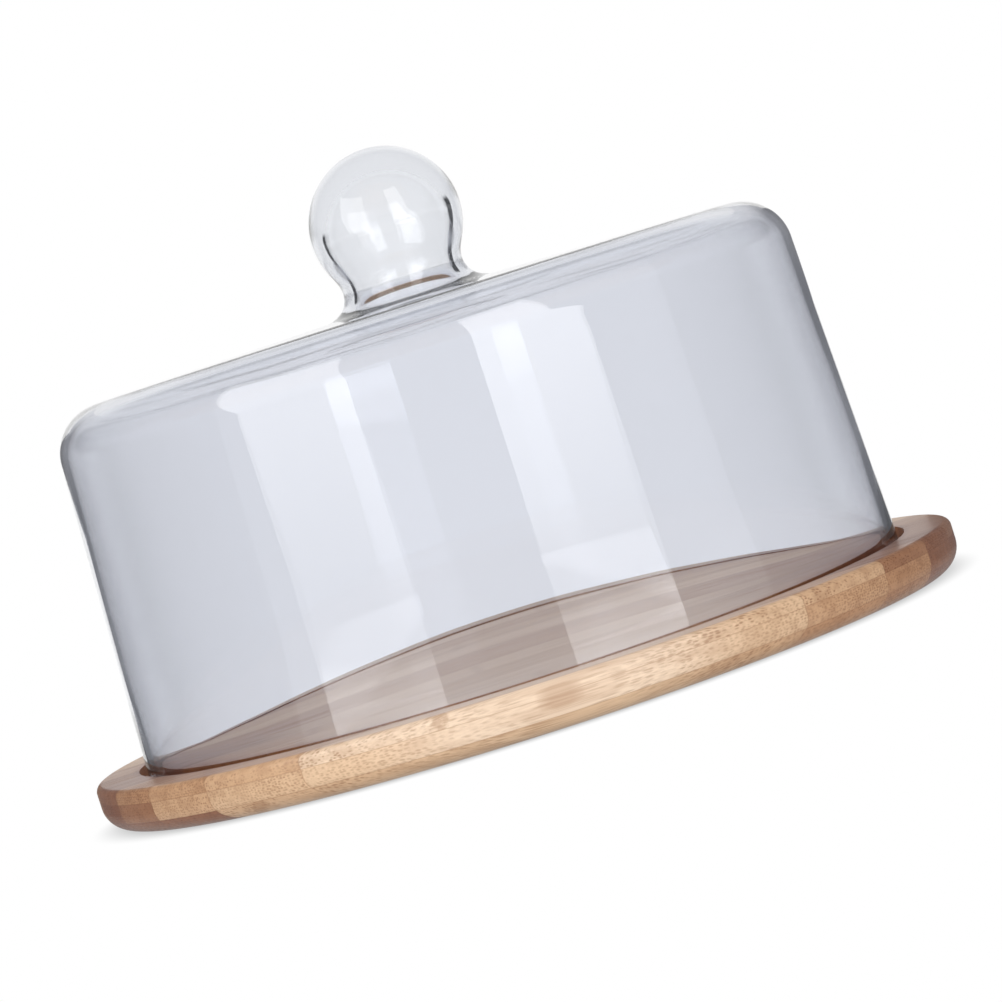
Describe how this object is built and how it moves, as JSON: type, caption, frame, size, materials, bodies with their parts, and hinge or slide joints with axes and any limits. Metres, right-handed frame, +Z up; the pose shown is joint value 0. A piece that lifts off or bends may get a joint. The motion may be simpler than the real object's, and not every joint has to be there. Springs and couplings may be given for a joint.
{
  "type": "glass cake dome on bamboo board",
  "caption": "Clear blown-glass food dome with a hollow ball knob, standing in the ring groove of a round laminated bamboo board.",
  "frame": {"origin": "centre of the board's underside", "axes": "+Z up through the knob, +X along the bamboo's grain"},
  "size_m": [0.3, 0.3, 0.1921],
  "materials": {
    "clear_glass": "clear, fire-polished",
    "light_bamboo": "oiled satin",
    "golden_bamboo": "oiled satin",
    "brown_bamboo": "oiled satin",
    "dark_bamboo": "oiled satin"
  },
  "bodies": {
    "board": {"bottom_lamella_01": "golden_bamboo", "bottom_lamella_02": "golden_bamboo", "bottom_lamella_03": "brown_bamboo", "bottom_lamella_04": "dark_bamboo", "bottom_lamella_05": "dark_bamboo", "bottom_lamella_06": "brown_bamboo", "bottom_lamella_07": "golden_bamboo", "bottom_lamella_08": "brown_bamboo", "bottom_lamella_09": "light_bamboo", "bottom_lamella_10": "dark_bamboo", "bottom_lamella_11": "golden_bamboo", "bottom_lamella_12": "brown_bamboo", "core_lamella_01": "light_bamboo", "core_lamella_02": "light_bamboo", "core_lamella_03": "light_bamboo", "core_lamella_04": "brown_bamboo", "core_lamella_05": "dark_bamboo", "core_lamella_06": "golden_bamboo", "core_lamella_07": "light_bamboo", "core_lamella_08": "brown_bamboo", "core_lamella_09": "golden_bamboo", "core_lamella_10": "light_bamboo", "core_lamella_11": "brown_bamboo", "core_lamella_12": "golden_bamboo", "top_lamella_01": "golden_bamboo", "top_lamella_02": "light_bamboo", "top_lamella_03": "golden_bamboo", "top_lamella_04": "brown_bamboo", "top_lamella_05": "golden_bamboo", "top_lamella_06": "dark_bamboo", "top_lamella_07": "brown_bamboo", "top_lamella_08": "light_bamboo", "top_lamella_09": "golden_bamboo", "top_lamella_10": "brown_bamboo", "top_lamella_11": "light_bamboo", "top_lamella_12": "golden_bamboo"},
    "dome": {"glass_dome": "clear_glass"}
  },
  "joints": [
    {"name": "dome_lift", "type": "slide", "parent": "board", "child": "dome", "axis": [0, 0, 1], "range_m": [0, 0.2]}
  ]
}
